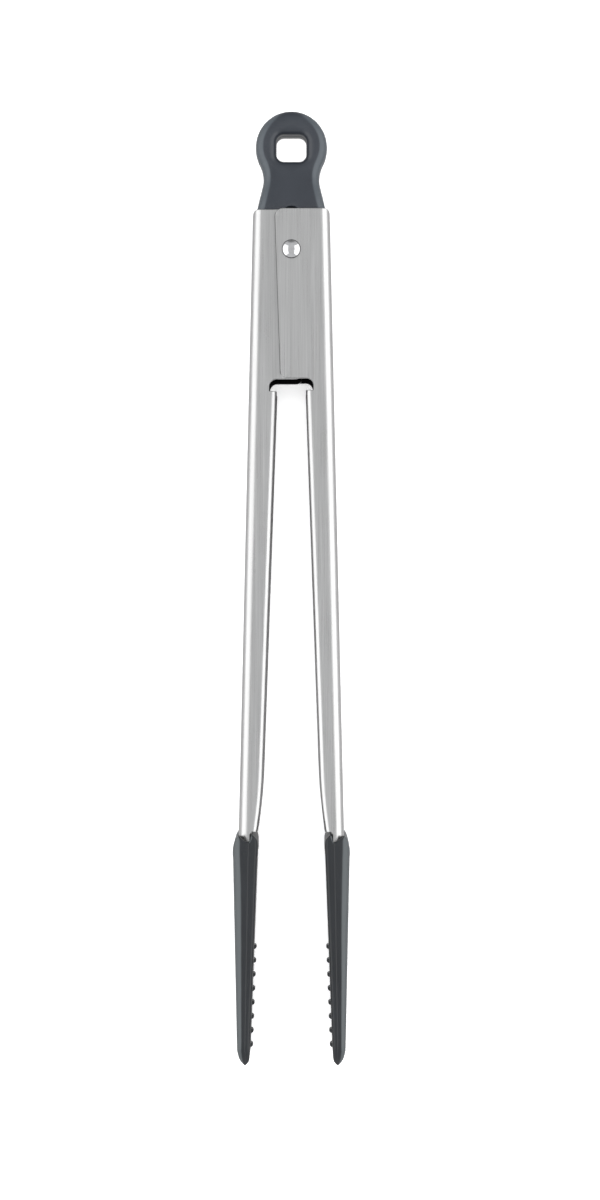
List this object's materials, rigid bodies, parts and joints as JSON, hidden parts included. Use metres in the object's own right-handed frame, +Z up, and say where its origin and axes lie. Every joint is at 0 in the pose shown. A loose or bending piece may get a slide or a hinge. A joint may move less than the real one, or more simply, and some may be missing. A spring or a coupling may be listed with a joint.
{
  "type": "spring loaded kitchen tongs",
  "caption": "Kitchen tongs: two nested sheet steel arms on a rivet, sprung open, with silicone jaw heads and a pull tab that locks them shut.",
  "frame": {"origin": "middle of the tongs' length and width, on the surface that they lie on", "axes": "+Y from the jaw tips to the pull tab, +X across the jaws, +Z up along the pivot"},
  "size_m": [0.0372, 0.305, 0.027],
  "materials": {
    "arm_steel": "stainless sheet brushed along the arm",
    "rivet_steel": "polished stainless rivet",
    "inner_steel": "plain bright steel",
    "spring_steel": "drawn stainless spring wire",
    "tab_nylon": "satin moulded nylon",
    "core_nylon": "moulded nylon",
    "head_silicone": "matte moulded silicone"
  },
  "bodies": {
    "pivot": {"pivot_rivet": "rivet_steel", "pivot_sleeve": "inner_steel", "torsion_spring": "spring_steel"},
    "left_arm": {"arm_left": "arm_steel", "lock_catch_left": "inner_steel", "head_core_left": "core_nylon", "head_cover_left": "head_silicone"},
    "right_arm": {"arm_right": "arm_steel", "lock_catch_right": "inner_steel", "head_core_right": "core_nylon", "head_cover_right": "head_silicone"},
    "lock": {"lock_tab": "tab_nylon", "lock_plate": "inner_steel", "plate_pins": "inner_steel"}
  },
  "joints": [
    {"name": "left_close", "type": "hinge", "parent": "pivot", "child": "left_arm", "pos_m": [0, 0.1073, 0.0135], "axis": [0, 0, 1], "range_deg": [0, 2.77], "stiffness_Nm_per_rad": 1.2, "springref_deg": -17.19, "deforming": ["torsion_spring"]},
    {"name": "right_close", "type": "hinge", "parent": "pivot", "child": "right_arm", "pos_m": [0, 0.1073, 0.0135], "axis": [0, 0, -1], "range_deg": [0, 2.77], "stiffness_Nm_per_rad": 1.2, "springref_deg": -17.19, "deforming": ["torsion_spring"]},
    {"name": "lock_slide", "type": "slide", "parent": "pivot", "child": "lock", "axis": [0, 1, 0], "range_m": [0, 0.0085]}
  ],
  "couplings": [
    {"joint": "right_close", "follows": "left_close", "ratio": 1}
  ]
}
